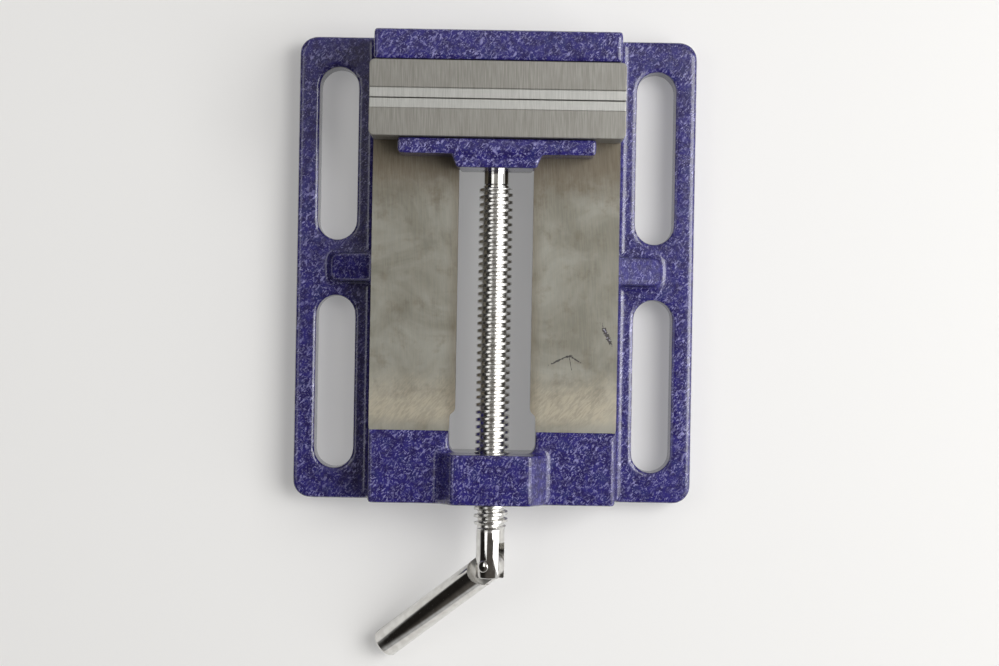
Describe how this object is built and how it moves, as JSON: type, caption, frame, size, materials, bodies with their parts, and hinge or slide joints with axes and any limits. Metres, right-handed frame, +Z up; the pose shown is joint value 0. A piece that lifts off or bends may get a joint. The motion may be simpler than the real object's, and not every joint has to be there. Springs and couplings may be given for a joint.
{
  "type": "drill press vise",
  "caption": "Low drill press vise: a slotted cast base with a fixed jaw, a sliding jaw on flat rails, a lead screw and a folding lever.",
  "frame": {"origin": "on the surface that the vise stands on, under the middle of the whole vise's outline with its jaws closed", "axes": "+X to the right of someone who faces the fixed jaw, +Y along the screw towards the fixed jaw, +Z up; the jaws open along -Y, towards the lever"},
  "size_m": [0.165, 0.2573, 0.055],
  "materials": {
    "paint": "indigo hammertone paint over cast iron, with fine pale flecks; the bed is ground bare",
    "ground_steel": "ground steel with fine marks across the jaw",
    "bright_steel": "plain bright steel",
    "dark_steel": "black oxide on alloy steel",
    "chrome": "bright plating over turned steel"
  },
  "bodies": {
    "base": {"base_casting": "paint", "fixed_jaw_plate": "ground_steel", "fixed_jaw_screw_left": "dark_steel", "fixed_jaw_screw_right": "dark_steel"},
    "jaw": {"movable_jaw_casting": "paint", "movable_jaw_plate": "ground_steel", "movable_jaw_screw_left": "dark_steel", "movable_jaw_screw_right": "dark_steel", "keeper_plate": "bright_steel", "keeper_bolt_left": "dark_steel", "keeper_bolt_right": "dark_steel", "keeper_flat_washer_left": "bright_steel", "keeper_flat_washer_right": "bright_steel", "keeper_spring_washer_left": "dark_steel", "keeper_spring_washer_right": "dark_steel", "nose_pin_left": "dark_steel", "nose_pin_right": "dark_steel"},
    "screw": {"lead_screw": "chrome", "lever_rivet": "chrome"},
    "lever": {"handle_lever": "chrome"}
  },
  "joints": [
    {"name": "jaw_slide", "type": "slide", "parent": "base", "child": "jaw", "axis": [0, -1, 0], "range_m": [0, 0.1134]},
    {"name": "screw_turn", "type": "hinge", "parent": "jaw", "child": "screw", "pos_m": [0, 0, 0.03], "axis": [0, -1, 0], "range_deg": [0, 13608]},
    {"name": "lever_fold", "type": "hinge", "parent": "screw", "child": "lever", "pos_m": [0, -0.08758, 0.03], "axis": [-0.4848, 0, 0.8746], "range_deg": [-36, 144]}
  ],
  "couplings": [
    {"joint": "jaw_slide", "follows": "screw_turn", "m_per_rad": 0.00047746}
  ]
}
